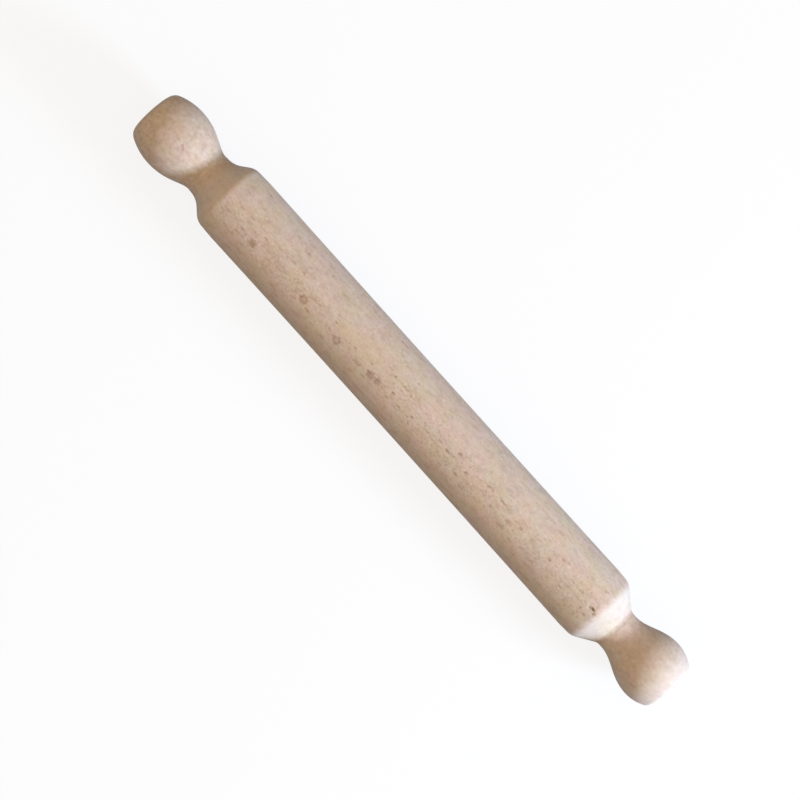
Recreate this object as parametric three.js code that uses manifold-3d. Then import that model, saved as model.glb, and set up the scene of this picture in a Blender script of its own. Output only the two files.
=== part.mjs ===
// A plain turned rolling pin: one barrel and two short knob handles, each glued into the barrel
// by its own round tenon. Lengths are in millimetres. X runs along the pin, left handle at -X,
// Z is up, and the origin is on the barrel's axis, halfway between the two end faces.
import * as THREE from 'three';
import { mergeVertices } from 'three/addons/utils/BufferGeometryUtils.js';
import Module from 'manifold-3d';

const wasm = await Module();
wasm.setup();

// Barrel, from the shoulder face that carries the left handle to the one that carries the right
const barrelLength = 317;
const barrelDiameter = 41.4;
const barrelHollowing = 0.35;

// Each end of the barrel is a cove, a straight cone and an edge, all measured from the seam.
// The cuts are how far the cove and the edge are rounded off, each way from their corner.
// From the edge on, the barrel is eased slightly until it reaches its full diameter.
const leftFootDiameter = 25.8;
const leftCoveCorner = 5.2;
const leftCoveCut = 4.5;
const leftEdgeCorner = 14.4;
const leftEdgeCut = 3.2;
const leftEasingEnd = 25;

// The right end's cove is small and its cone is flatter
const rightFootDiameter = 23.8;
const rightCoveCorner = 1.7;
const rightCoveCut = 1.6;
const rightEdgeCorner = 13.6;
const rightEdgeCut = 2.7;
const rightEasingEnd = 22;

// How far the edges stand in from the full radius
const edgeDrop = 0.4;

// Left handle: neck, swell up to the widest ring, then an arc down to the rim of a flat end face
const leftNeckDiameter = 25.6;
const leftNeckLand = 1;
const leftSwellLength = 24.4;
const leftSwellEaseShares = [0.21, 0.54];
const leftKnobDiameter = 38.8;
const leftEndLength = 17.4;
const leftRimDiameter = 28.9;
const leftRimRound = 3.5;

// Right handle: a thinner neck, a slightly smaller knob, a blunter end and a crisper rim
const rightNeckDiameter = 23.8;
const rightNeckLand = 1.4;
const rightSwellLength = 25.8;
const rightSwellEaseShares = [0.35, 0.44];
const rightKnobDiameter = 37.7;
const rightEndLength = 13;
const rightRimDiameter = 29;
const rightRimRound = 2;

// How far each handle's axis sits beside the barrel's axis, along Y
const leftHandleShift = 0.2;
const rightHandleShift = -0.6;

// Round tenon of each handle, and the glue room around it and past its end
const tenonDiameter = 14;
const tenonLength = 28;
const tenonChamfer = 1;
const glueGap = 0.15;
const glueWell = 1.5;
const drillOverrun = 1;

// Flat sides around every turned surface, and steps along each curve of an outline
const roundSides = 48;
const easeSteps = 8;
const coveSteps = 5;
const edgeSteps = 4;
const bodySteps = 8;
const endSteps = 6;
const rimSteps = 5;

const overallLength = leftNeckLand + leftSwellLength + leftEndLength + barrelLength
  + rightNeckLand + rightSwellLength + rightEndLength;
const leftSeam = leftNeckLand + leftSwellLength + leftEndLength - overallLength / 2;
const rightSeam = leftSeam + barrelLength;

const barrelWood = new THREE.MeshStandardMaterial({ color: 0xcbae94, roughness: 0.62, metalness: 0 });
const leftHandleWood = new THREE.MeshStandardMaterial({ color: 0xc9aa8f, roughness: 0.58, metalness: 0 });
const rightHandleWood = new THREE.MeshStandardMaterial({ color: 0xc8ab92, roughness: 0.58, metalness: 0 });

// Outline points are (radius, distance along the axis), and an outline runs towards +X.

// A double curve that leaves the first radius and reaches the second one along the axis
function ease(fromRadius, toRadius, start, length, [startShare, endShare]) {
  return new THREE.CubicBezierCurve(
    new THREE.Vector2(fromRadius, start),
    new THREE.Vector2(fromRadius, start + startShare * length),
    new THREE.Vector2(toRadius, start + length - endShare * length),
    new THREE.Vector2(toRadius, start + length),
  ).getPoints(easeSteps);
}

// A corner of an outline, rounded off over the cut's length each way
function roundedCorner(before, corner, after, cut, steps) {
  const start = before.clone().sub(corner).setLength(cut).add(corner);
  const end = after.clone().sub(corner).setLength(cut).add(corner);
  return new THREE.QuadraticBezierCurve(start, corner, end).getPoints(steps);
}

// One end of the barrel, from its foot at zero along to the rolling surface
function shoulder(size) {
  const radius = barrelDiameter / 2;
  const foot = size.footDiameter / 2;
  const footEdge = new THREE.Vector2(foot, 0);
  const cove = new THREE.Vector2(foot, size.coveCorner);
  const edge = new THREE.Vector2(radius - edgeDrop, size.edgeCorner);
  const easingEnd = new THREE.Vector2(radius, size.easingEnd);
  return [
    footEdge,
    ...roundedCorner(footEdge, cove, edge, size.coveCut, coveSteps),
    ...roundedCorner(cove, edge, easingEnd, size.edgeCut, edgeSteps),
    easingEnd,
  ];
}

// One arc from the widest ring down towards the rim, then the rim's rounded edge
function knobEnd(knobRadius, rimRadius, start, length, rimRound) {
  const drop = knobRadius - rimRadius;
  const arcRadius = (length ** 2 + drop ** 2) / (2 * drop);
  const sweep = (Math.asin(length / arcRadius) * arcRadius - rimRound) / arcRadius;
  const arc = new THREE.ArcCurve(knobRadius - arcRadius, start, arcRadius, 0, sweep).getPoints(endSteps);
  const edge = new THREE.QuadraticBezierCurve(
    arc[endSteps],
    new THREE.Vector2(rimRadius, start + length),
    new THREE.Vector2(rimRadius - rimRound, start + length),
  ).getPoints(rimSteps);
  return [...arc, ...edge];
}

// The rolling surface, hollowed a little towards its middle
function rollingSurface(start, end) {
  const radius = barrelDiameter / 2;
  const waist = radius - barrelHollowing;
  return new THREE.QuadraticBezierCurve(
    new THREE.Vector2(radius, start),
    new THREE.Vector2(2 * waist - radius, (start + end) / 2),
    new THREE.Vector2(radius, end),
  ).getPoints(bodySteps);
}

// Turns an outline about the X axis. The middles of its flat sides touch the true round.
function turned(outline) {
  const stretch = 1 / Math.cos(Math.PI / roundSides);
  const points = outline
    .filter((point, i) => i === 0 || !point.equals(outline[i - 1]))
    .map((point) => new THREE.Vector2(point.x * stretch, point.y));
  const geometry = new THREE.LatheGeometry(points, roundSides, Math.PI / roundSides);
  return geometry.rotateZ(-Math.PI / 2);
}

function toSolid(geometry) {
  const bare = geometry.clone();
  bare.deleteAttribute('normal');
  bare.deleteAttribute('uv');
  const merged = mergeVertices(bare);
  return new wasm.Manifold(new wasm.Mesh({
    numProp: 3,
    vertProperties: new Float32Array(merged.attributes.position.array),
    triVerts: new Uint32Array(merged.index.array),
  }));
}

function toGeometry(solid) {
  const mesh = solid.getMesh();
  const geometry = new THREE.BufferGeometry();
  geometry.setAttribute('position', new THREE.BufferAttribute(mesh.vertProperties, 3));
  geometry.setIndex(new THREE.BufferAttribute(mesh.triVerts, 1));
  geometry.computeVertexNormals();
  return geometry;
}

// The blind hole for one tenon, from outside the shoulder face down to its flat bottom
function socket(face, inward, shift) {
  const radius = tenonDiameter / 2 + glueGap;
  const bottom = face + inward * (tenonLength + glueWell);
  const mouth = face - inward * drillOverrun;
  const [low, high] = [Math.min(bottom, mouth), Math.max(bottom, mouth)];
  const outline = [[0, low], [radius, low], [radius, high], [0, high]]
    .map(([r, along]) => new THREE.Vector2(r, along));
  return toSolid(turned(outline).translate(0, shift, 0));
}

function barrelGeometry() {
  const left = shoulder({
    footDiameter: leftFootDiameter,
    coveCorner: leftCoveCorner,
    coveCut: leftCoveCut,
    edgeCorner: leftEdgeCorner,
    edgeCut: leftEdgeCut,
    easingEnd: leftEasingEnd,
  }).map((point) => new THREE.Vector2(point.x, leftSeam + point.y));
  const right = shoulder({
    footDiameter: rightFootDiameter,
    coveCorner: rightCoveCorner,
    coveCut: rightCoveCut,
    edgeCorner: rightEdgeCorner,
    edgeCut: rightEdgeCut,
    easingEnd: rightEasingEnd,
  }).map((point) => new THREE.Vector2(point.x, rightSeam - point.y)).reverse();
  const outline = [
    new THREE.Vector2(0, leftSeam),
    ...left,
    ...rollingSurface(leftSeam + leftEasingEnd, rightSeam - rightEasingEnd),
    ...right,
    new THREE.Vector2(0, rightSeam),
  ];
  const body = toSolid(turned(outline))
    .subtract(socket(leftSeam, 1, leftHandleShift))
    .subtract(socket(rightSeam, -1, rightHandleShift));
  return toGeometry(body);
}

// One handle with its tenon. Its shoulder face is at zero and the knob grows towards +X.
function handleGeometry(size) {
  const tenon = tenonDiameter / 2;
  const neck = size.neckDiameter / 2;
  const knob = size.knobDiameter / 2;
  const rim = size.rimDiameter / 2;
  const widest = size.neckLand + size.swellLength;
  const outline = [
    new THREE.Vector2(0, -tenonLength),
    new THREE.Vector2(tenon - tenonChamfer, -tenonLength),
    new THREE.Vector2(tenon, tenonChamfer - tenonLength),
    new THREE.Vector2(tenon, 0),
    new THREE.Vector2(neck, 0),
    ...ease(neck, knob, size.neckLand, size.swellLength, size.swellEaseShares),
    ...knobEnd(knob, rim, widest, size.endLength, size.rimRound),
    new THREE.Vector2(0, widest + size.endLength),
  ];
  return turned(outline);
}

function named(name, geometry, material) {
  const mesh = new THREE.Mesh(geometry, material);
  mesh.name = name;
  return mesh;
}

const barrel = named('barrel', barrelGeometry(), barrelWood);

const leftHandle = named('left_handle', handleGeometry({
  neckDiameter: leftNeckDiameter,
  neckLand: leftNeckLand,
  swellLength: leftSwellLength,
  swellEaseShares: leftSwellEaseShares,
  knobDiameter: leftKnobDiameter,
  endLength: leftEndLength,
  rimDiameter: leftRimDiameter,
  rimRound: leftRimRound,
}), leftHandleWood);
leftHandle.position.set(leftSeam, leftHandleShift, 0);
leftHandle.rotation.z = Math.PI;

const rightHandle = named('right_handle', handleGeometry({
  neckDiameter: rightNeckDiameter,
  neckLand: rightNeckLand,
  swellLength: rightSwellLength,
  swellEaseShares: rightSwellEaseShares,
  knobDiameter: rightKnobDiameter,
  endLength: rightEndLength,
  rimDiameter: rightRimDiameter,
  rimRound: rightRimRound,
}), rightHandleWood);
rightHandle.position.set(rightSeam, rightHandleShift, 0);

const rollingPin = new THREE.Group();
rollingPin.add(barrel, leftHandle, rightHandle);

export default rollingPin;
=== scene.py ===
# A turned beech rolling pin, lying on a white table and seen from straight above.
# Units are metres in the frame's own axes: X runs along the pin and Z is up.
import math

import bpy
import numpy as np
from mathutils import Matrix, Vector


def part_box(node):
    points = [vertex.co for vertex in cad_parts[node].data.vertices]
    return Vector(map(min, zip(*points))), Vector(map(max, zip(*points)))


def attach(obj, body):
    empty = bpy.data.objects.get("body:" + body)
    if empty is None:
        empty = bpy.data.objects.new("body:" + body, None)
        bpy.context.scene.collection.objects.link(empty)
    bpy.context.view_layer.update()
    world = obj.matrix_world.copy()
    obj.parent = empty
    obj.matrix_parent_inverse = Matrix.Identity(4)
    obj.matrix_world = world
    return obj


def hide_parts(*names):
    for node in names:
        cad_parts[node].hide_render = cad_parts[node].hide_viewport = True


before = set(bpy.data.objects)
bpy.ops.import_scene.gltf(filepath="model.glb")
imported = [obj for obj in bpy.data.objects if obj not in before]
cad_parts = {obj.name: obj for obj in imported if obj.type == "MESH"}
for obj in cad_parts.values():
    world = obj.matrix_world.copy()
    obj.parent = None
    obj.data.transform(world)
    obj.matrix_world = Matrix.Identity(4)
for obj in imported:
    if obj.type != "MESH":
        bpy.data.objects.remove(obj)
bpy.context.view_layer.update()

MM = 0.001

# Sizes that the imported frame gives
barrel_low, barrel_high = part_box("barrel")
left_low, left_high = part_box("left_handle")
right_low, right_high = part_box("right_handle")
LEFT_SEAM = barrel_low.x
RIGHT_SEAM = barrel_high.x
BARREL_RADIUS = (barrel_high.z - barrel_low.z) / 2
TENON_LENGTH = left_high.x - LEFT_SEAM
FLOOR_Z = barrel_low.z

# Sizes that the frame's boxes don't give
BARREL_HOLLOWING = 0.35 * MM
EDGE_DROP = 0.4 * MM
TENON_RADIUS = 7 * MM
TENON_CHAMFER = 1 * MM
GLUE_GAP = 0.15 * MM
GLUE_WELL = 1.5 * MM
SEAM_EASE = 0.05 * MM

# Each end of the pin. Distances along the pin are measured from the seam, inwards for the
# barrel's cove, edge and easing, and outwards for the handle's neck, swell and end.
LEFT_END = {
    "seam": LEFT_SEAM,
    "outward": -1,
    "shift": (left_low.y + left_high.y) / 2,
    "foot_radius": 12.9 * MM,
    "cove_corner": 5.2 * MM,
    "cove_cut": 4.5 * MM,
    "edge_corner": 14.4 * MM,
    "edge_cut": 3.2 * MM,
    "easing_end": 25 * MM,
    "neck_radius": 12.8 * MM,
    "neck_land": 1 * MM,
    "swell_length": 24.4 * MM,
    "swell_shares": (0.21, 0.54),
    "knob_radius": (left_high.z - left_low.z) / 2,
    "reach": LEFT_SEAM - left_low.x,
    "rim_radius": 14.45 * MM,
    "rim_round": 3.5 * MM,
}
RIGHT_END = {
    "seam": RIGHT_SEAM,
    "outward": 1,
    "shift": (right_low.y + right_high.y) / 2,
    "foot_radius": 11.9 * MM,
    "cove_corner": 1.7 * MM,
    "cove_cut": 1.6 * MM,
    "edge_corner": 13.6 * MM,
    "edge_cut": 2.7 * MM,
    "easing_end": 22 * MM,
    "neck_radius": 11.9 * MM,
    "neck_land": 1.4 * MM,
    "swell_length": 25.8 * MM,
    "swell_shares": (0.35, 0.44),
    "knob_radius": (right_high.z - right_low.z) / 2,
    "reach": right_high.x - RIGHT_SEAM,
    "rim_radius": 14.5 * MM,
    "rim_round": 2 * MM,
}

# How fine the turned meshes are: sides around, steps along, the least number of points on a curve,
# the angle from which an edge is sharp, and the distance within which two points are one
SIDES = 320
RING_STEP = 0.8 * MM
FINE_STEP = 0.15 * MM
END_FACE_STEP = 2 * MM
LEAST_CURVE_POINTS = 8
SHARP_ANGLE = math.radians(40)
SAME_PLACE = 0.0001 * MM

# The barrel's mesh has finer rings and finer sides over this width through the pit
PIT_STEP = 0.15 * MM
PIT_REACH = 10 * MM

# An edge of this radius or less counts as fully worn, and a hollow of it as fully darkened by
# grime and painted shade
WEAR_RADIUS = 5 * MM

# Camera: straight above, with the image's right-hand side turned from the pin's X axis. The sizes
# of the photograph are in pixels, and the sensor's is in millimetres.
PHOTO_SIZE = 800
PIXELS_PER_METRE = 1930
CAMERA_HEIGHT = 1.5
CAMERA_TURN = math.radians(47.976)
CAMERA_CLIP_END = 20
PIN_CENTRE_PIXEL = (410.9, 399.6)
SENSOR_WIDTH = 36

# Times that the height of the point under a pixel is worked out again, each time closer
SIGHT_ROUNDS = 6

# Wood colours
STRAW = (0.688, 0.524, 0.318, 1)
LILAC = (0.688, 0.524, 0.412, 1)
OLIVE = (0.656, 0.549, 0.370, 1)
ROSE = (0.716, 0.499, 0.367, 1)
ROSY = (0.620, 0.450, 0.350, 1)
LATE = (0.430, 0.280, 0.180, 1)
FLECK = (0.300, 0.180, 0.110, 1)
LIGHT_FLECK = (0.820, 0.680, 0.560, 1)
END_GRAIN = (0.400, 0.275, 0.200, 1)
# Dark colour for the hollows: partly grime, partly painted shade
GRIME_AND_SHADE = (0.330, 0.220, 0.145, 1)
# Pale wood of edges rubbed by use, also used for the right knob's painted highlight
RUBBED_AND_HIGHLIGHT = (0.730, 0.585, 0.485, 1)
# Paler wood painted on the shoulders as a painted highlight for the key light's sheen
SHOULDER_HIGHLIGHT = (0.690, 0.600, 0.500, 1)
MARK = (0.330, 0.180, 0.110, 1)
BROWN = (0.350, 0.200, 0.090, 1)
REDDISH = (0.420, 0.190, 0.150, 1)
STAIN = (0.520, 0.400, 0.200, 1)
PIT = (0.075, 0.038, 0.014, 1)

# Noises in the wood: size in millimetres along the pin, across it and up, detail and roughness
SWAY_NOISE = ((90, 25, 25), 2, 0.5)
PATCH_NOISE = ((60, 12, 12), 3, 0.5)
CLOUD_NOISE = ((11, 8, 8), 4, 0.6)
SECOND_CLOUD_NOISE = ((14, 10, 10), 4, 0.65)
BLOTCH_NOISE = ((13, 8, 8), 1, 0.5)
SMUDGE_NOISE = ((6, 3.2, 3.2), 1, 0.5)
DAPPLE_NOISE = ((2.5, 2.5, 2.5), 2, 0.5)
FIBRE_NOISE = ((7, 0.5, 0.5), 2, 0.5)
TOOTH_NOISE = ((1.8, 1.2, 1.2), 1, 0.5)
RAGGED_NOISE = ((1.7, 1.3, 1.3), 2, 0.5)

# Where noise counts as low, middling and high
NOISE_LOW = 0.28
NOISE_MIDDLE = 0.5
NOISE_HIGH = 0.72

# Full range in millimetres, along, across and up, of the grain's sway and of a mark's ragged edge
SWAY_RANGE = (0, 6, 6)
RAGGED_RANGE = (3, 2.2, 2.2)

# How far off the second clouds are read, in millimetres, so that they differ from the first
SECOND_CLOUD_OFFSET = (300, 300, 300)

# Ray flecks: size in millimetres along, around and into the log, how far one reaches from its
# seed, the share of them that shows, and how far off they are read, so that no two kinds agree
FINE_FLECKS = ((2.4, 1.2, 3), 0.38, 0.9, 11)
BOLD_FLECKS = ((7.5, 2.2, 4), 0.34, 0.6, 47)
LIGHT_FLECKS = ((3.8, 1.9, 3), 0.36, 0.8, 83)

# A fleck is full within this share of its reach
FLECK_CORE = 0.35

# How far a face looks along the pin, from 0 to 1, where its end grain starts and where it is
# full, and where its flecks are gone and where they are full
END_GRAIN_TILTS = (0.85, 0.995)
FLECK_TILTS = (0.58, 0.2)

# How far a face looks to the pith or away from it, from 0 to 1, where the grain starts to be
# crisper than its least and where it is fully crisp
CRISP_TILTS = (0.88, 0.98)
LEAST_CRISPNESS = 0.65

# Yearly rings: width in millimetres, the shares of it where the late wood grows dark and where it
# ends, how much of them shows along the grain, and how much more on end grain
RING_WIDTH = 2.6
LATE_WOOD_START = (0.3, 0.9)
LATE_WOOD_END = (1, 0.92)
RING_SHARE = 0.07
END_RING_SHARE = 0.35

# The most that shows of the wood's colours. The fibres' and flecks' share goes with the wood's
# strength.
END_GRAIN_SHARE = 0.75
FIBRE_SHARE = 0.12
LIGHT_FLECK_SHARE = 0.48
FINE_FLECK_SHARE = 0.34
BOLD_FLECK_SHARE = 0.4
RUBBED_SHARE = 0.3
# The hollows' darkening is partly grime and partly painted shade
GRIME_AND_SHADE_SHARE = 0.27

# Values made of a fixed part and a part that goes with the wood's strength: how softly the clouds'
# hues meet, how much of the rosy stretches shows, and how far smudges swing to dark and to pale
CLOUD_SOFTNESS = (0.24, -0.12)
ROSY_SHARE = (0.2, 0.05)
SMUDGE_SWING = ((0.04, 0.14), (0.03, 0.13))

# How far places of the other sizes swing to dark and to pale. The tooth's swing goes with the
# wood's strength, and the dapple's with how dappled the wood is.
BLOTCH_SWING = (0.06, 0.05)
TOOTH_SWING = (0.2, 0.26)
DAPPLE_SWING = (0.7, 1.3)

# Where the noises start to make rosy stretches, rubbed stretches and dark fibres, and where those
# are full
ROSY_NOISE = (0.35, 0.7)
RUBBED_NOISE = (0.3, 0.7)
DARK_FIBRE_NOISE = (0.45, 0.8)

# Relief in millimetres at full strength
TOOTH_HEIGHT = 0.07
FIBRE_HEIGHT = 0.02
FINE_FLECK_DEPTH = 0.03
BOLD_FLECK_DEPTH = 0.08

# Gloss: how much the wood mirrors, its roughness, what fibres and end grain add to that, and what
# wear takes off it
WOOD_SPECULAR = 0.3
WOOD_ROUGHNESS = 0.7
FIBRE_ROUGHNESS = 0.1
END_GRAIN_ROUGHNESS = 0.1
WORN_SMOOTHNESS = 0.08

# Each piece's wood: its log's pith as (y, z) and its place along the log, both in millimetres, how
# strong its flecks and tooth are, and how dappled it is by hands
BARREL_WOOD = {"pith": (12, -58), "place": 0, "strength": 1, "dappled": 0}
LEFT_HANDLE_WOOD = {"pith": (62, -20), "place": 731, "strength": 0.55, "dappled": 0.3}
RIGHT_HANDLE_WOOD = {"pith": (-55, -30), "place": 1433, "strength": 0.32, "dappled": 0.24}

# Marks in the barrel's wood, by the photograph's pixels
PIT_PIXEL = (592.2, 611.0)
BROWN_SPOT_PIXELS = ((377.0, 381.5), (252.6, 243.6))
SOFT_SPOT_PIXELS = ((356.0, 362.3), (507.6, 521.9), (500.3, 525.7))
DARK_DASH_PIXELS = ((466, 473), (393, 393), (447, 451), (460, 454), (369, 372), (301, 296), (266, 239))
DASH_PIXELS = (
    (271, 196), (304, 273), (309, 254), (333, 276), (336, 322), (355, 348), (359, 365),
    (371, 363), (376, 379), (395, 376), (406, 416), (407, 366), (407, 422), (411, 396),
    (411, 417), (419, 384), (425, 424), (427, 432), (440, 441), (489, 487), (490, 506),
    (521, 529), (549, 560), (559, 586), (563, 560), (573, 582), (580, 607),
)
STREAK_PIXELS = ((405, 344), (420, 357), (405.5, 388.3), (503.6, 502.5))
FAINT_STREAK_PIXELS = ((230, 211), (268, 251), (283, 268), (290, 259), (316.5, 302))
STRAW_PATCH_PIXEL = (360, 345)

# Kinds of marks on the barrel: where, length and width in millimetres, colour, the share of it
# that shows, and depth in millimetres
BARREL_MARKS = (
    ((STRAW_PATCH_PIXEL,), 46, 13, STRAW, 0.5, 0),
    (BROWN_SPOT_PIXELS, 5.2, 5, BROWN, 0.6, 0),
    (SOFT_SPOT_PIXELS, 5, 3.2, MARK, 0.4, 0),
    (DASH_PIXELS, 2.9, 1.4, MARK, 0.45, 0.08),
    (STREAK_PIXELS, 8, 1.4, MARK, 0.5, 0),
    (FAINT_STREAK_PIXELS, 9, 1.6, MARK, 0.25, 0),
    (DARK_DASH_PIXELS, 3.2, 1.7, MARK, 0.6, 0.08),
    ((PIT_PIXEL,), 6, 4.6, STAIN, 0.35, 0),
)

# A mark fades out between these shares of its own half size
MARK_FADE = (1.2, 0.4)

# Ring-shaped marks: pixel and how dark the middle is beside the ring
RING_MARKS = (((303.3, 299.3), 0.5), ((336.0, 340.3), 0.2), ((369.8, 374.5), 0.9))

# Their length and width in millimetres, the shares of their half size where the outside fades out
# and where the middle passes into the ring, the share of colour that shows, and their depth in
# millimetres
RING_MARK_LENGTH = 5.2
RING_MARK_WIDTH = 4.4
RING_MARK_FADE = (1.25, 0.75)
RING_MARK_MIDDLE = (0.1, 0.65)
RING_MARK_SHARE = 0.55
RING_MARK_DEPTH = 0.05

# The shoulders are painted paler by this share, a painted highlight for the key light's whitish
# sheen on the cones, laid on both shoulders alike. In millimetres, the painted highlight starts so
# far on either side of the edge, and ends between these distances from the seam.
SHOULDER_HIGHLIGHT_SHARE = 0.37
SHOULDER_HIGHLIGHT_EDGE_FADE = 1
SHOULDER_HIGHLIGHT_FOOT_FADE = (2, 8)

# The left knob's mark: where its spots are, which join into a dash, how long and wide one is in
# millimetres, the share of its colour that shows, and its depth in millimetres
KNOB_DASH_PIXELS = ((182.2, 145.2), (182.5, 147.4), (182.8, 149.6))
KNOB_DASH_SIZE = 1.9
KNOB_DASH_SHARE = 0.5
KNOB_DASH_DEPTH = 0.04

# The right knob's end, which faces the key light, is painted paler by this share as a painted
# highlight, reached so many millimetres past its widest ring
KNOB_HIGHLIGHT_SHARE = 0.3
KNOB_HIGHLIGHT_FADE = 6

# The pit's hollows, which join into a hook: pixel, width and depth
PIT_HOLLOWS = (
    ((590.4, 607.3), 2.2 * MM, 0.26 * MM),
    ((592.4, 608.8), 1.5 * MM, 0.45 * MM),
    ((592.9, 610.1), 1.4 * MM, 0.50 * MM),
    ((592.8, 614.3), 2.0 * MM, 0.25 * MM),
)

# A hollow ends at this share of its half width, and the power gives it steep sides. The pit's
# colour comes in between these shares of its greatest depth.
HOLLOW_END = 1.3
HOLLOW_POWER = 0.7
PIT_COLOUR_DEPTHS = (0.05, 0.9)

# Key light: a low soft lamp beyond the right end of the pin, slightly cool. At a level of 1 a
# colour renders as it is written.
KEY_DISTANCE = 1.9
KEY_HEADING = math.radians(15)
KEY_ELEVATION = math.radians(19)
KEY_WIDTH = 0.5
KEY_HEIGHT = 0.34
KEY_LEVEL = 1.25
KEY_COLOUR = (0.80, 1.03, 1.46)

# The room is dim and cool at the horizon, warm and brighter overhead, and a little brighter on the
# near side, at -Y. Where it's seen or mirrored it's white instead.
ROOM_HORIZON = (0.08, 0.17, 0.28, 1)
ROOM_OVERHEAD = (0.80, 0.60, 0.40, 1)
ROOM_NEAR_SIDE = 0.25
ROOM_SEEN = (1, 1, 1, 1)

# The floor is white where it's seen or mirrored, and most of that white is a glow. It gives back
# less and cooler light to the pin.
FLOOR_HALF_WIDTH = 3
FLOOR_SEEN = (1, 1, 1, 1)
FLOOR_BOUNCE = (0.17, 0.24, 0.34, 1)
FLOOR_GLOW_SHARE = 0.85


def quadratic(start, pull, end, count):
    """Points of a quadratic curve, as an array with one (along, radius) row for each."""
    t = np.linspace(0, 1, count)[:, None]
    a, b, c = (np.array(p, float) for p in (start, pull, end))
    return (1 - t) ** 2 * a + 2 * (1 - t) * t * b + t**2 * c


def cubic(start, start_pull, end_pull, end, count):
    """Points of a cubic curve, in the same form."""
    t = np.linspace(0, 1, count)[:, None]
    a, b, c, d = (np.array(p, float) for p in (start, start_pull, end_pull, end))
    return (1 - t) ** 3 * a + 3 * (1 - t) ** 2 * t * b + 3 * (1 - t) * t**2 * c + t**3 * d


def curve_points(length, step=RING_STEP):
    """How many points a curve of this length has."""
    return max(int(length / step), LEAST_CURVE_POINTS)


def ease(start, length, from_radius, to_radius, shares):
    """The double curve between two radii, level at both ends."""
    return cubic(
        (start, from_radius),
        (start + shares[0] * length, from_radius),
        (start + (1 - shares[1]) * length, to_radius),
        (start + length, to_radius),
        curve_points(length),
    )


def knob_end(start, length, knob_radius, rim_radius, rim_round):
    """One arc from the widest ring towards the rim, then the rim's rounded edge."""
    drop = knob_radius - rim_radius
    arc_radius = (length**2 + drop**2) / (2 * drop)
    sweep = math.asin(length / arc_radius) - rim_round / arc_radius
    angles = np.linspace(0, sweep, curve_points(length))
    arc_along = start + arc_radius * np.sin(angles)
    arc_out = knob_radius - arc_radius + arc_radius * np.cos(angles)
    arc = np.stack((arc_along, arc_out), axis=1)
    rim = (start + length, rim_radius)
    face = (start + length, rim_radius - rim_round)
    edge = quadratic(arc[-1], rim, face, curve_points(2 * rim_round, FINE_STEP))
    return np.vstack((arc, edge[1:]))


def rounded_corner(before, corner, after, cut):
    """A corner of an outline, rounded off over the cut's length each way."""
    before, corner, after = (np.array(p, float) for p in (before, corner, after))
    start = corner + (before - corner) * cut / np.linalg.norm(before - corner)
    end = corner + (after - corner) * cut / np.linalg.norm(after - corner)
    return quadratic(start, corner, end, curve_points(4 * cut))


def joined_outline(parts):
    """Joins stretches of an outline and drops points that repeat."""
    points = np.vstack([np.atleast_2d(np.array(p, float)) for p in parts])
    step = np.linalg.norm(np.diff(points, axis=0), axis=1)
    return points[np.concatenate(([True], step > SAME_PLACE))]


def refined(points, step):
    """The same outline with points added wherever two of them are more than a step apart."""
    path = [points[0]]
    for start, end in zip(points[:-1], points[1:]):
        count = max(int(math.ceil(np.linalg.norm(end - start) / step)), 1)
        path += [start + (end - start) * (i + 1) / count for i in range(count)]
    return np.array(path)


def handle_outline(end):
    """(distance out from the seam, radius) from the tenon's tip to the middle of the end face."""
    neck = end["neck_radius"]
    knob = end["knob_radius"]
    rim = end["rim_radius"]
    reach = end["reach"]
    widest = end["neck_land"] + end["swell_length"]
    face_radii = np.arange(rim - end["rim_round"], 0, -END_FACE_STEP)
    return joined_outline(
        (
            [(-TENON_LENGTH, 0), (-TENON_LENGTH, TENON_RADIUS - TENON_CHAMFER)],
            [(-TENON_LENGTH + TENON_CHAMFER, TENON_RADIUS), (0, TENON_RADIUS)],
            [(0, neck - SEAM_EASE), (SEAM_EASE, neck)],
            ease(end["neck_land"], end["swell_length"], neck, knob, end["swell_shares"]),
            knob_end(widest, reach - widest, knob, rim, end["rim_round"]),
            [(reach, radius) for radius in face_radii],
            [(reach, 0)],
        )
    )


def shoulder_outline(end):
    """(distance in from the seam, radius) from the shoulder's foot up to the rolling surface."""
    foot = (0, end["foot_radius"])
    cove = (end["cove_corner"], end["foot_radius"])
    edge = (end["edge_corner"], BARREL_RADIUS - EDGE_DROP)
    easing_end = (end["easing_end"], BARREL_RADIUS)
    points = joined_outline(
        (
            [(0, end["foot_radius"] - SEAM_EASE), (SEAM_EASE, end["foot_radius"])],
            rounded_corner(foot, cove, edge, end["cove_cut"]),
            rounded_corner(cove, edge, easing_end, end["edge_cut"]),
            easing_end,
        )
    )
    return refined(points, RING_STEP)


def socket_rings(end):
    """The blind hole for the tenon, as (x, radius, shift) rings from its bottom to its mouth."""
    radius = TENON_RADIUS + GLUE_GAP
    bottom = end["seam"] - end["outward"] * (TENON_LENGTH + GLUE_WELL)
    shift = end["shift"]
    return [(bottom, 0, shift), (bottom, radius, shift), (end["seam"], radius, shift)]


def shoulder_rings(end):
    """A shoulder as (x, radius, shift) rings. Its foot is flush with the handle, which stands a
    little beside the barrel's axis, and its edge is true to the barrel."""
    rings = []
    for distance, radius in shoulder_outline(end):
        share = min(distance / end["edge_corner"], 1)
        flush = 1 - share**2 * (3 - 2 * share)
        rings.append((end["seam"] - end["outward"] * distance, radius, end["shift"] * flush))
    return rings


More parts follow.
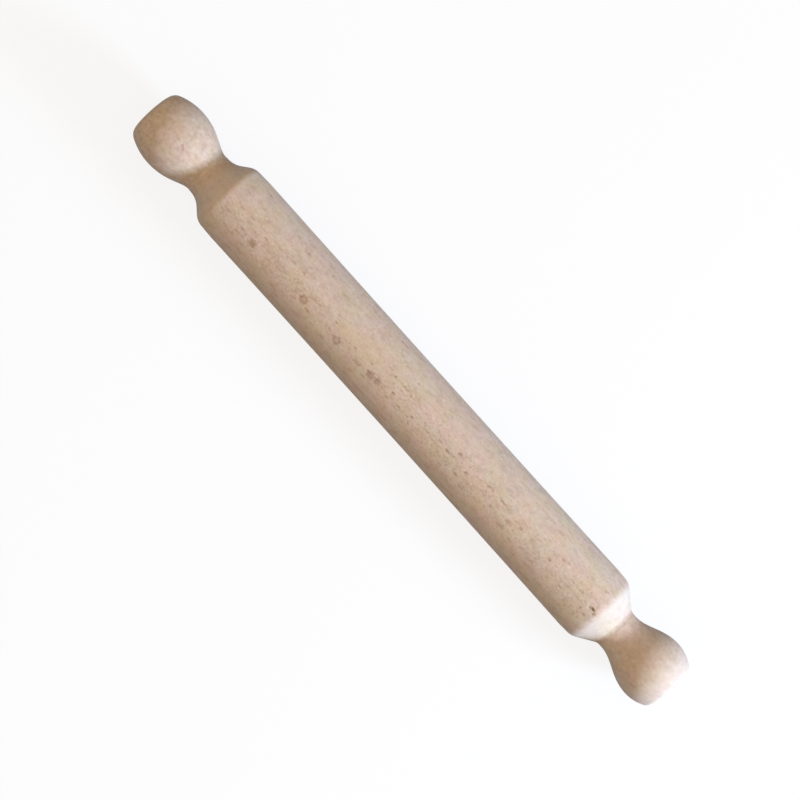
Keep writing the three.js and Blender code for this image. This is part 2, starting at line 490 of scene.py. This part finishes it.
def barrel_rings():
    """The whole barrel as (x, radius, shift) rings, from one socket's bottom to the other's."""
    left = shoulder_rings(LEFT_END)
    right = shoulder_rings(RIGHT_END)
    start, end = left[-1][0], right[-1][0]
    middle, half = (start + end) / 2, (end - start) / 2
    pit_x = seen_on_barrel(PIT_PIXEL)[0]
    x = start
    rings = []
    while x < end - RING_STEP:
        x += PIT_STEP if abs(x - pit_x) < PIT_REACH / 2 else RING_STEP
        share = (x - middle) / half
        rings.append((x, BARREL_RADIUS - BARREL_HOLLOWING * (1 - share**2), 0))
    return socket_rings(LEFT_END) + left + rings + right[::-1] + socket_rings(RIGHT_END)[::-1]


def handle_rings(end):
    """One handle with its tenon as (x, radius, shift) rings, in order of growing x."""
    rings = [(end["seam"] + end["outward"] * d, r, end["shift"]) for d, r in handle_outline(end)]
    return rings if end["outward"] > 0 else rings[::-1]


def camera_axes():
    """The image's right and up directions and the camera's place, in X and Y."""
    right = np.array((math.cos(CAMERA_TURN), math.sin(CAMERA_TURN)))
    up = np.array((-math.sin(CAMERA_TURN), math.cos(CAMERA_TURN)))
    beside = (PHOTO_SIZE / 2 - PIN_CENTRE_PIXEL[0]) / PIXELS_PER_METRE
    above = (PIN_CENTRE_PIXEL[1] - PHOTO_SIZE / 2) / PIXELS_PER_METRE
    return right, up, beside * right + above * up


def seen_at(pixel, height):
    """The point (x, y) that a pixel shows at a height above the pin's axis."""
    right, up, place = camera_axes()
    scale = (CAMERA_HEIGHT - height) / CAMERA_HEIGHT / PIXELS_PER_METRE
    offset = (pixel[0] - PHOTO_SIZE / 2) * right - (pixel[1] - PHOTO_SIZE / 2) * up
    return place + offset * scale


def seen_on(pixel, radius, shift=0):
    """The point that a pixel shows on the upper side of a round of this radius."""
    height = radius
    for _ in range(SIGHT_ROUNDS):
        x, y = seen_at(pixel, height)
        height = math.sqrt(max(radius**2 - (y - shift) ** 2, 0))
    return np.array((x, y, height))


def seen_on_barrel(pixel):
    """The point that a pixel shows on the barrel, taken as straight."""
    return seen_on(pixel, BARREL_RADIUS - BARREL_HOLLOWING / 2)


def bend_of(rings):
    """The outline's curvature at each ring, per metre: above zero on edges, below in hollows. The
    hairline ease at a seam doesn't count."""
    along, out = np.diff(rings[:, 0]), np.diff(rings[:, 1])
    length = np.hypot(along, out)
    heading = np.unwrap(np.arctan2(out, along))
    bend = -2 * np.diff(heading) / (length[1:] + length[:-1])
    bend[np.minimum(length[1:], length[:-1]) < 2 * SEAM_EASE] = 0
    return np.concatenate(([0], bend, [0]))


def even_angles():
    """Even steps around a piece."""
    return np.arange(SIDES) * 2 * math.pi / SIDES


def barrel_angles():
    """Even steps around the barrel, with finer ones added through the pit."""
    middle = seen_on_barrel(PIT_PIXEL)
    centre = math.atan2(middle[1], middle[2])
    half = PIT_REACH / 2 / BARREL_RADIUS
    fine = np.arange(centre - half, centre + half, PIT_STEP / BARREL_RADIUS) % (2 * math.pi)
    even = even_angles()
    apart = np.abs((even[:, None] - fine[None, :] + math.pi) % (2 * math.pi) - math.pi).min(axis=1)
    return np.sort(np.concatenate((even[apart > PIT_STEP / BARREL_RADIUS / 2], fine)))


def pit_depth(points):
    """How deep the pit is at points on the barrel: a hook of small joined hollows."""
    deepest = np.zeros(len(points))
    for pixel, width, depth in PIT_HOLLOWS:
        away = np.linalg.norm(points - seen_on_barrel(pixel), axis=1) / (width / 2)
        deepest = np.maximum(deepest, depth * np.clip(HOLLOW_END - away, 0, 1) ** HOLLOW_POWER)
    return deepest


def work_pit(points):
    """Sinks the small hooked pit into the barrel's points."""
    inward = points * (0, 1, 1)
    inward /= np.maximum(np.linalg.norm(inward, axis=1, keepdims=True), SAME_PLACE)
    return points - inward * pit_depth(points)[:, None]


def ring_points(rings, angles):
    """The points around each inner ring in turn, then the first ring's point and the last one's."""
    inner = rings[1:-1]
    x = np.repeat(inner[:, 0], len(angles))
    y = (inner[:, 1:2] * np.sin(angles) + inner[:, 2:3]).ravel()
    z = (inner[:, 1:2] * np.cos(angles)).ravel()
    ends = [(ring[0], ring[2], 0) for ring in (rings[0], rings[-1])]
    return np.vstack((np.stack((x, y, z), axis=1), ends))


def ring_faces(count, sides):
    """The faces between so many rings of points, and a fan to the point at each end."""
    here = np.arange(sides)
    after = (here + 1) % sides
    first, last = count * sides, count * sides + 1
    top = (count - 1) * sides
    faces = []
    for low in range(0, top, sides):
        high = low + sides
        faces += np.stack((low + here, high + here, high + after, low + after), axis=1).tolist()
    faces += [(first, int(a), int(b)) for a, b in zip(here, after)]
    faces += [(last, int(top + b), int(top + a)) for a, b in zip(here, after)]
    return faces


def add_attribute(mesh, name, values):
    """Gives each point of a mesh a value that its material can read."""
    layer = mesh.attributes.new(name, "FLOAT", "POINT")
    layer.data.foreach_set("value", values.astype(np.float32))


def add_wear_attributes(mesh, rings, sides):
    """Notes on each point how far it stands proud on an edge and how far it lies in a hollow."""
    bend = bend_of(rings)
    for name, sign in (("proud", 1), ("nook", -1)):
        value = np.clip(sign * bend * WEAR_RADIUS, 0, 1)
        add_attribute(mesh, name, np.concatenate((np.repeat(value[1:-1], sides), value[[0, -1]])))


def add_pit_attribute(piece):
    """Notes on each point how far it lies in the pit, for the pit's dark colour."""
    mesh = piece.data
    place = np.empty(len(mesh.vertices) * 3, np.float32)
    mesh.vertices.foreach_get("co", place)
    deepest = max(hollow[2] for hollow in PIT_HOLLOWS)
    add_attribute(mesh, "pit", pit_depth(place.reshape(-1, 3).astype(float)) / deepest)


def new_object(name, data):
    """A new object in the scene."""
    made = bpy.data.objects.new(name, data)
    bpy.context.scene.collection.objects.link(made)
    return made


def turned_piece(name, rings, angles, shape=None):
    """A closed mesh through the rings. The first and last ring have no radius and become points.
    shape takes the surface points and gives them back with marks worked into them."""
    rings = np.array(rings, float)
    sides = len(angles)
    points = ring_points(rings, angles)
    if shape:
        points = shape(points)
    mesh = bpy.data.meshes.new(name)
    mesh.from_pydata(points.tolist(), [], ring_faces(len(rings) - 2, sides))
    mesh.validate()
    mesh.polygons.foreach_set("use_smooth", np.ones(len(mesh.polygons), bool))
    mesh.set_sharp_from_angle(angle=SHARP_ANGLE)
    add_wear_attributes(mesh, rings, sides)
    return new_object(name, mesh)


def feed(tree, socket, value):
    """Links a socket to another, or sets it to a number, vector or colour."""
    if isinstance(value, bpy.types.NodeSocket):
        tree.links.new(value, socket)
    else:
        socket.default_value = value


def calc(tree, operation, *values, clamp=False):
    """Arithmetic on numbers."""
    node = tree.nodes.new("ShaderNodeMath")
    node.operation = operation
    node.use_clamp = clamp
    for socket, value in zip(node.inputs, values):
        feed(tree, socket, value)
    return node.outputs[0]


def scaled(tree, value, factor):
    """A number times another."""
    return calc(tree, "MULTIPLY", value, factor)


def vector_calc(tree, operation, *values):
    """Arithmetic on vectors."""
    node = tree.nodes.new("ShaderNodeVectorMath")
    node.operation = operation
    for socket, value in zip(node.inputs, values):
        feed(tree, socket, value)
    return node.outputs["Value"] if operation == "LENGTH" else node.outputs["Vector"]


def combine(tree, x, y, z):
    """The vector with these three parts."""
    node = tree.nodes.new("ShaderNodeCombineXYZ")
    for socket, value in zip(node.inputs, (x, y, z)):
        feed(tree, socket, value)
    return node.outputs[0]


def parts_of(tree, vector):
    """A vector's x, y and z."""
    node = tree.nodes.new("ShaderNodeSeparateXYZ")
    feed(tree, node.inputs[0], vector)
    return tuple(node.outputs)


def between(tree, value, low, high):
    """0 at low, 1 at high, and smooth in between. low may be above high."""
    node = tree.nodes.new("ShaderNodeMapRange")
    node.interpolation_type = "SMOOTHSTEP"
    feed(tree, node.inputs["Value"], value)
    node.inputs["From Min"].default_value = low
    node.inputs["From Max"].default_value = high
    return node.outputs["Result"]


def blend_colour(tree, share, under, over):
    """One colour laid over another by a share. The mixer's colours are its sockets 6, 7 and 2."""
    node = tree.nodes.new("ShaderNodeMix")
    node.data_type = "RGBA"
    feed(tree, node.inputs[0], share)
    feed(tree, node.inputs[6], under)
    feed(tree, node.inputs[7], over)
    return node.outputs[2]


def together(tree, shares):
    """The strongest of several shares at each place."""
    strongest = shares[0]
    for share in shares[1:]:
        strongest = calc(tree, "MAXIMUM", strongest, share)
    return strongest


def attribute(tree, name):
    """A value that the mesh carries at each point."""
    node = tree.nodes.new("ShaderNodeAttribute")
    node.attribute_name = name
    return node.outputs["Fac"]


def stretched(tree, place, size):
    """The place divided by a size along each axis, in millimetres."""
    return vector_calc(tree, "MULTIPLY", place, tuple(1 / part for part in size))


def noise_node(tree, place, kind):
    """Soft noise of one kind at a place in millimetres."""
    size, detail, roughness = kind
    node = tree.nodes.new("ShaderNodeTexNoise")
    feed(tree, node.inputs["Vector"], stretched(tree, place, size))
    node.inputs["Scale"].default_value = 1
    node.inputs["Detail"].default_value = detail
    node.inputs["Roughness"].default_value = roughness
    return node


def noise(tree, place, kind):
    """Soft noise from 0 to 1."""
    return noise_node(tree, place, kind).outputs["Fac"]


def pushed(tree, place, kind, full_range):
    """The place pushed about by noise, within a full range along each axis."""
    random = noise_node(tree, place, kind).outputs["Color"]
    push = vector_calc(tree, "SUBTRACT", random, (NOISE_MIDDLE, NOISE_MIDDLE, NOISE_MIDDLE))
    return vector_calc(tree, "ADD", place, vector_calc(tree, "MULTIPLY", push, full_range))


def flecks(tree, log, kind):
    """Ray flecks of one kind: spindles in the wood, from 0 around them to 1 in their cores."""
    size, reach, kept, offset = kind
    moved = vector_calc(tree, "ADD", log, (offset, offset, offset))
    seeds = tree.nodes.new("ShaderNodeTexVoronoi")
    feed(tree, seeds.inputs["Vector"], stretched(tree, moved, size))
    seeds.inputs["Scale"].default_value = 1
    separate = tree.nodes.new("ShaderNodeSeparateColor")
    feed(tree, separate.inputs[0], seeds.outputs["Color"])
    body = between(tree, seeds.outputs["Distance"], reach, reach * FLECK_CORE)
    strength = between(tree, separate.outputs[0], 1 - kept, 1)
    return calc(tree, "MULTIPLY", body, strength)


def log_coordinates(tree, place, pith):
    """The place as (along, around, depth) in millimetres in a log whose pith is at (y, z), and
    the depth alone."""
    x, y, z = parts_of(tree, place)
    across = calc(tree, "SUBTRACT", y, pith[0])
    up = calc(tree, "SUBTRACT", z, pith[1])
    squares = calc(tree, "ADD", calc(tree, "POWER", across, 2), calc(tree, "POWER", up, 2))
    depth = calc(tree, "SQRT", squares)
    around = scaled(tree, calc(tree, "ARCTAN2", up, across), math.hypot(*pith))
    return combine(tree, x, around, depth), depth


def face_shares(tree, pith):
    """(how far a face shows end grain, how much of the flecks it shows, how crisp the grain is).
    End grain lies on faces that look along the pin, and flecks fade where the surface turns
    towards it. The grain is crispest on flat-sawn faces, which look to the pith or away."""
    surface = tree.nodes.new("ShaderNodeNewGeometry")
    x, y, z = parts_of(tree, surface.outputs["Normal"])
    along = calc(tree, "ABSOLUTE", x)
    reach = math.hypot(*pith)
    beside = scaled(tree, y, pith[0] / reach)
    above = scaled(tree, z, pith[1] / reach)
    facing = calc(tree, "ABSOLUTE", calc(tree, "ADD", beside, above))
    crisper = scaled(tree, between(tree, facing, *CRISP_TILTS), 1 - LEAST_CRISPNESS)
    crispness = calc(tree, "ADD", LEAST_CRISPNESS, crisper)
    return between(tree, along, *END_GRAIN_TILTS), between(tree, along, *FLECK_TILTS), crispness


def grain_of(tree, true_place, wood):
    """Everything that the wood's colour, relief and gloss are made from, by name."""
    place = vector_calc(tree, "ADD", true_place, (wood["place"], 0, 0))
    place = pushed(tree, place, SWAY_NOISE, SWAY_RANGE)
    log, depth = log_coordinates(tree, place, wood["pith"])
    end_share, fleck_share, crispness = face_shares(tree, wood["pith"])
    tooth = calc(tree, "SUBTRACT", noise(tree, place, TOOTH_NOISE), NOISE_MIDDLE)
    fleck_share = calc(tree, "MULTIPLY", fleck_share, crispness)
    grain = {
        "place": place,
        "depth": depth,
        "end": end_share,
        "patch": noise(tree, place, PATCH_NOISE),
        "fibre": noise(tree, place, FIBRE_NOISE),
        "tooth": calc(tree, "ADD", calc(tree, "MULTIPLY", tooth, crispness), NOISE_MIDDLE),
    }
    for name, kind in (("fine", FINE_FLECKS), ("bold", BOLD_FLECKS), ("light", LIGHT_FLECKS)):
        grain[name] = calc(tree, "MULTIPLY", flecks(tree, log, kind), fleck_share)
    return grain


def with_strength(parts, strength):
    """A fixed part and a part that goes with the wood's strength, added up."""
    return parts[0] + parts[1] * strength


def broad_colour(tree, grain, strength):
    """Clouds of hue, from straw to lilac and from olive to rose, and rosy stretches along the
    grain. The clouds are softer on the handles."""
    cloud = noise(tree, grain["place"], CLOUD_NOISE)
    elsewhere = vector_calc(tree, "ADD", grain["place"], SECOND_CLOUD_OFFSET)
    second_cloud = noise(tree, elsewhere, SECOND_CLOUD_NOISE)
    softness = with_strength(CLOUD_SOFTNESS, strength)
    low, high = NOISE_MIDDLE - softness, NOISE_MIDDLE + softness
    warmth = blend_colour(tree, between(tree, cloud, low, high), STRAW, LILAC)
    redness = blend_colour(tree, between(tree, second_cloud, low, high), OLIVE, ROSE)
    colour = blend_colour(tree, 0.5, warmth, redness)
    rosy = between(tree, grain["patch"], *ROSY_NOISE)
    return blend_colour(tree, scaled(tree, rosy, with_strength(ROSY_SHARE, strength)), colour, ROSY)


def add_end_grain(tree, colour, grain):
    """Darker end grain, and yearly rings, faint along the grain and plain on end grain."""
    colour = blend_colour(tree, scaled(tree, grain["end"], END_GRAIN_SHARE), colour, END_GRAIN)
    ring = calc(tree, "FRACT", calc(tree, "DIVIDE", grain["depth"], RING_WIDTH))
    late = between(tree, ring, *LATE_WOOD_START)
    late = calc(tree, "MULTIPLY", late, between(tree, ring, *LATE_WOOD_END))
    share = calc(tree, "ADD", RING_SHARE, scaled(tree, grain["end"], END_RING_SHARE))
    return blend_colour(tree, calc(tree, "MULTIPLY", late, share), colour, LATE)


def swung(tree, colour, value, dark, pale):
    """The colour taken towards a dark one where the noise is low and a pale one where it's high."""
    dark_share = scaled(tree, between(tree, value, NOISE_MIDDLE, NOISE_LOW), dark)
    pale_share = scaled(tree, between(tree, value, NOISE_MIDDLE, NOISE_HIGH), pale)
    return blend_colour(tree, pale_share, blend_colour(tree, dark_share, colour, FLECK), LIGHT_FLECK)


def add_tone(tree, colour, grain, wood):
    """Darker and paler places of several sizes, down to the tooth of the sanded surface. Handles
    have weaker tooth and are dappled by hands instead, but not on their end grain."""
    strength = wood["strength"]
    colour = swung(tree, colour, noise(tree, grain["place"], BLOTCH_NOISE), *BLOTCH_SWING)
    smudge_swing = [with_strength(parts, strength) for parts in SMUDGE_SWING]
    colour = swung(tree, colour, noise(tree, grain["place"], SMUDGE_NOISE), *smudge_swing)
    if wood["dappled"]:
        shown = scaled(tree, calc(tree, "SUBTRACT", 1, grain["end"]), wood["dappled"])
        dapple_swing = [scaled(tree, shown, swing) for swing in DAPPLE_SWING]
        colour = swung(tree, colour, noise(tree, grain["place"], DAPPLE_NOISE), *dapple_swing)
    return swung(tree, colour, grain["tooth"], *(swing * strength for swing in TOOTH_SWING))


def add_flecks(tree, colour, grain, strength):
    """Ray flecks, pale ones under dark ones."""
    kinds = (
        ("light", LIGHT_FLECK_SHARE, LIGHT_FLECK),
        ("fine", FINE_FLECK_SHARE, FLECK),
        ("bold", BOLD_FLECK_SHARE, FLECK),
    )
    for name, share, shade in kinds:
        colour = blend_colour(tree, scaled(tree, grain[name], share * strength), colour, shade)
    return colour


def add_wear(tree, colour, grain):
    """Edges rubbed pale by use, and hollows darkened by grime and painted shade."""
    rubbed = between(tree, grain["patch"], *RUBBED_NOISE)
    rubbed = calc(tree, "MULTIPLY", attribute(tree, "proud"), rubbed)
    colour = blend_colour(tree, scaled(tree, rubbed, RUBBED_SHARE), colour, RUBBED_AND_HIGHLIGHT)
    # Painted shade with grime: the hollows are darkened as the shade in the coves would darken them
    return blend_colour(tree, scaled(tree, attribute(tree, "nook"), GRIME_AND_SHADE_SHARE), colour, GRIME_AND_SHADE)


def wood_colour(tree, grain, wood):
    """The wood's colour before its marks."""
    strength = wood["strength"]
    colour = broad_colour(tree, grain, strength)
    colour = add_end_grain(tree, colour, grain)
    dark_fibre = between(tree, grain["fibre"], *DARK_FIBRE_NOISE)
    colour = blend_colour(tree, scaled(tree, dark_fibre, FIBRE_SHARE * strength), colour, LATE)
    colour = add_tone(tree, colour, grain, wood)
    colour = add_flecks(tree, colour, grain, strength)
    return add_wear(tree, colour, grain)


def wood_roughness(tree, grain):
    """Rougher along the fibres and on end grain, smoother where an edge is worn."""
    roughness = calc(tree, "ADD", WOOD_ROUGHNESS, scaled(tree, grain["fibre"], FIBRE_ROUGHNESS))
    roughness = calc(tree, "ADD", roughness, scaled(tree, grain["end"], END_GRAIN_ROUGHNESS))
    return calc(tree, "SUBTRACT", roughness, scaled(tree, attribute(tree, "proud"), WORN_SMOOTHNESS))


def wood_height(tree, grain, strength):
    """The wood's relief in millimetres: tooth and fibres stand up, and dark flecks lie sunk."""
    height = scaled(tree, grain["tooth"], TOOTH_HEIGHT * strength)
    height = calc(tree, "ADD", height, scaled(tree, grain["fibre"], FIBRE_HEIGHT * strength))
    height = calc(tree, "SUBTRACT", height, scaled(tree, grain["fine"], FINE_FLECK_DEPTH * strength))
    return calc(tree, "SUBTRACT", height, scaled(tree, grain["bold"], BOLD_FLECK_DEPTH * strength))


def beech(name, wood, marks):
    """The beech of one piece. marks adds the piece's own marks to a colour and gives back the
    colour and each mark's depth in millimetres."""
    material = bpy.data.materials.new(name)
    material.use_nodes = True
    tree = material.node_tree
    shader = tree.nodes["Principled BSDF"]
    shader.inputs["Specular IOR Level"].default_value = WOOD_SPECULAR
    coordinates = tree.nodes.new("ShaderNodeTexCoord")
    place = vector_calc(tree, "MULTIPLY", coordinates.outputs["Object"], (1 / MM, 1 / MM, 1 / MM))
    grain = grain_of(tree, place, wood)
    colour, sunk = marks(tree, place, wood_colour(tree, grain, wood))
    feed(tree, shader.inputs["Base Color"], colour)
    feed(tree, shader.inputs["Roughness"], wood_roughness(tree, grain))
    height = calc(tree, "SUBTRACT", wood_height(tree, grain, wood["strength"]), sunk)
    bump = tree.nodes.new("ShaderNodeBump")
    bump.inputs["Distance"].default_value = 1
    feed(tree, bump.inputs["Height"], scaled(tree, height, MM))
    feed(tree, shader.inputs["Normal"], bump.outputs[0])
    return material


def mark_distance(tree, place, centre, length, width):
    """0 at a mark's centre and 1 at its edge, for a mark that lies along the grain."""
    offset = vector_calc(tree, "SUBTRACT", place, tuple(np.array(centre) / MM))
    offset = stretched(tree, offset, (length / 2, width / 2, width / 2))
    return vector_calc(tree, "LENGTH", offset)


def mark_at(tree, place, centre, length, width):
    """1 in the middle of a mark, falling to 0 at its edge."""
    return between(tree, mark_distance(tree, place, centre, length, width), *MARK_FADE)


def ring_marks(tree, place):
    """Ring-shaped marks, paler in the middle."""
    shares = []
    for pixel, middle in RING_MARKS:
        away = mark_distance(tree, place, seen_on_barrel(pixel), RING_MARK_LENGTH, RING_MARK_WIDTH)
        body = between(tree, away, *RING_MARK_FADE)
        rim = scaled(tree, between(tree, away, *RING_MARK_MIDDLE), 1 - middle)
        shares.append(calc(tree, "MULTIPLY", body, calc(tree, "ADD", rim, middle)))
    return together(tree, shares)


def shoulder_highlight_share(tree, place):
    """1 on the barrel's coned shoulders, where their painted highlight lies, and 0 between them. It
    fades in the coves at the cones' feet."""
    x = parts_of(tree, place)[0]
    shares = []
    for end in (LEFT_END, RIGHT_END):
        seam, outward = end["seam"] / MM, end["outward"]
        edge = seam - outward * end["edge_corner"] / MM
        fade = outward * SHOULDER_HIGHLIGHT_EDGE_FADE
        cone = between(tree, x, edge - fade, edge + fade)
        foot = between(tree, x, *(seam - outward * distance for distance in SHOULDER_HIGHLIGHT_FOOT_FADE))
        shares.append(calc(tree, "MULTIPLY", cone, foot))
    return together(tree, shares)


def barrel_marks(tree, place, colour):
    """The barrel's own marks: the shoulders' painted highlight, ring-shaped and plain spots, dashes,
    streaks and the pit. Gives back the colour and each mark's depth."""
    # Painted highlight: the shoulders are painted paler where the key light's sheen falls on the cones
    shoulders = scaled(tree, shoulder_highlight_share(tree, place), SHOULDER_HIGHLIGHT_SHARE)
    colour = blend_colour(tree, shoulders, colour, SHOULDER_HIGHLIGHT)
    place = pushed(tree, place, RAGGED_NOISE, RAGGED_RANGE)
    rings = ring_marks(tree, place)
    colour = blend_colour(tree, scaled(tree, rings, RING_MARK_SHARE), colour, MARK)
    depth = scaled(tree, rings, RING_MARK_DEPTH)
    for pixels, length, width, shade, share, sunk in BARREL_MARKS:
        mark = together(tree, [mark_at(tree, place, seen_on_barrel(p), length, width) for p in pixels])
        colour = blend_colour(tree, scaled(tree, mark, share), colour, shade)
        if sunk:
            depth = calc(tree, "MAXIMUM", depth, scaled(tree, mark, sunk))
    pit_share = between(tree, attribute(tree, "pit"), *PIT_COLOUR_DEPTHS)
    return blend_colour(tree, pit_share, colour, PIT), depth


def left_knob_marks(tree, place, colour):
    """The left knob's single reddish dash, which lies across the grain."""
    outline = handle_outline(LEFT_END)
    shares = []
    for pixel in KNOB_DASH_PIXELS:
        distance = LEFT_SEAM - seen_at(pixel, LEFT_END["knob_radius"])[0]
        radius = np.interp(distance, outline[:, 0], outline[:, 1])
        centre = seen_on(pixel, radius, LEFT_END["shift"])
        shares.append(mark_at(tree, place, centre, KNOB_DASH_SIZE, KNOB_DASH_SIZE))
    dash = together(tree, shares)
    colour = blend_colour(tree, scaled(tree, dash, KNOB_DASH_SHARE), colour, REDDISH)
    return colour, scaled(tree, dash, KNOB_DASH_DEPTH)


def right_knob_marks(tree, place, colour):
    """A painted highlight: the right knob is painted paler from its widest ring on to its end,
    which faces the key light. It has no sunk marks.
    """
    x = parts_of(tree, place)[0]
    widest = (RIGHT_SEAM + RIGHT_END["neck_land"] + RIGHT_END["swell_length"]) / MM
    # Painted highlight on the side of the right knob that faces the key light
    share = scaled(tree, between(tree, x, widest, widest + KNOB_HIGHLIGHT_FADE), KNOB_HIGHLIGHT_SHARE)
    return blend_colour(tree, share, colour, RUBBED_AND_HIGHLIGHT), 0


def dress(name, rings, angles, node, material, shape=None):
    """Builds a turned piece that stands for a CAD node."""
    piece = turned_piece(name, rings, angles, shape)
    piece.data.materials.append(material)
    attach(piece, "root")
    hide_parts(node)
    return piece


def build_barrel():
    """The barrel with its two shoulders, its sockets and the pit."""
    barrel = dress(
        "barrel_turned",
        barrel_rings(),
        barrel_angles(),
        "barrel",
        beech("barrel_beech", BARREL_WOOD, barrel_marks),
        work_pit,
    )
    add_pit_attribute(barrel)


def build_left_handle():
    """The left handle with its tenon."""
    dress(
        "left_handle_turned",
        handle_rings(LEFT_END),
        even_angles(),
        "left_handle",
        beech("left_handle_beech", LEFT_HANDLE_WOOD, left_knob_marks),
    )


def build_right_handle():
    """The right handle with its tenon."""
    dress(
        "right_handle_turned",
        handle_rings(RIGHT_END),
        even_angles(),
        "right_handle",
        beech("right_handle_beech", RIGHT_HANDLE_WOOD, right_knob_marks),
    )


def seen_share(tree):
    """1 for rays from the camera and for mirrored or passed ones, else 0."""
    path = tree.nodes.new("ShaderNodeLightPath")
    seen = calc(tree, "ADD", path.outputs["Is Camera Ray"], path.outputs["Is Glossy Ray"])
    return calc(tree, "ADD", seen, path.outputs["Is Transmission Ray"], clamp=True)


def floor_paint():
    """White with a glow where the floor is seen or mirrored, and darker where it lights the pin."""
    material = bpy.data.materials.new("floor_white")
    material.use_nodes = True
    tree = material.node_tree
    tree.nodes.remove(tree.nodes["Principled BSDF"])
    share = seen_share(tree)
    paint = tree.nodes.new("ShaderNodeBsdfDiffuse")
    feed(tree, paint.inputs["Color"], blend_colour(tree, share, FLOOR_BOUNCE, FLOOR_SEEN))
    glow = tree.nodes.new("ShaderNodeEmission")
    mixer = tree.nodes.new("ShaderNodeMixShader")
    feed(tree, mixer.inputs[0], scaled(tree, share, FLOOR_GLOW_SHARE))
    feed(tree, mixer.inputs[1], paint.outputs[0])
    feed(tree, mixer.inputs[2], glow.outputs[0])
    feed(tree, tree.nodes["Material Output"].inputs["Surface"], mixer.outputs[0])
    return material


def build_floor():
    """One wide square under the pin."""
    half = FLOOR_HALF_WIDTH
    corners = [(x * half, y * half, FLOOR_Z) for x, y in ((-1, -1), (1, -1), (1, 1), (-1, 1))]
    mesh = bpy.data.meshes.new("floor")
    mesh.from_pydata(corners, [], [(0, 1, 2, 3)])
    mesh.materials.append(floor_paint())
    floor = new_object("floor", mesh)


def build_room():
    """White where it's seen or mirrored, and the room's own light for everything else."""
    world = bpy.data.worlds.new("room")
    bpy.context.scene.world = world
    world.use_nodes = True
    tree = world.node_tree
    background = tree.nodes["Background"]
    share = seen_share(tree)
    direction = tree.nodes.new("ShaderNodeTexCoord")
    _, y, z = parts_of(tree, direction.outputs["Generated"])
    room = blend_colour(tree, z, ROOM_HORIZON, ROOM_OVERHEAD)
    near_side = scaled(tree, calc(tree, "MINIMUM", y, 0), -ROOM_NEAR_SIDE)
    level = calc(tree, "MULTIPLY", calc(tree, "ADD", 1, near_side), calc(tree, "SUBTRACT", 1, share))
    feed(tree, background.inputs["Color"], blend_colour(tree, share, room, ROOM_SEEN))
    feed(tree, background.inputs["Strength"], calc(tree, "ADD", share, level))


def build_key_light():
    """The low soft lamp, aimed at the middle of the pin."""
    lamp = bpy.data.lights.new("key", "AREA")
    lamp.shape = "RECTANGLE"
    lamp.size = KEY_WIDTH
    lamp.size_y = KEY_HEIGHT
    lamp.energy = KEY_LEVEL * math.pi * math.pi * KEY_DISTANCE**2
    lamp.color = KEY_COLOUR
    key = new_object("key", lamp)
    level = math.cos(KEY_ELEVATION)
    key.location = (
        KEY_DISTANCE * level * math.cos(KEY_HEADING),
        KEY_DISTANCE * level * math.sin(KEY_HEADING),
        KEY_DISTANCE * math.sin(KEY_ELEVATION),
    )
    key.rotation_euler = (math.pi / 2 - KEY_ELEVATION, 0, math.pi / 2 + KEY_HEADING)


def build_camera():
    """The camera, which looks straight down and gives the pin the photograph's size and place."""
    data = bpy.data.cameras.new("camera")
    data.sensor_width = SENSOR_WIDTH
    data.lens = SENSOR_WIDTH * CAMERA_HEIGHT * PIXELS_PER_METRE / PHOTO_SIZE
    data.clip_end = CAMERA_CLIP_END
    camera = new_object("camera", data)
    place = camera_axes()[2]
    camera.location = (place[0], place[1], CAMERA_HEIGHT)
    camera.rotation_euler = (0, 0, CAMERA_TURN)
    bpy.context.scene.camera = camera


build_barrel()
build_left_handle()
build_right_handle()
build_floor()
build_room()
build_key_light()
build_camera()
bpy.context.scene.view_settings.view_transform = "Standard"
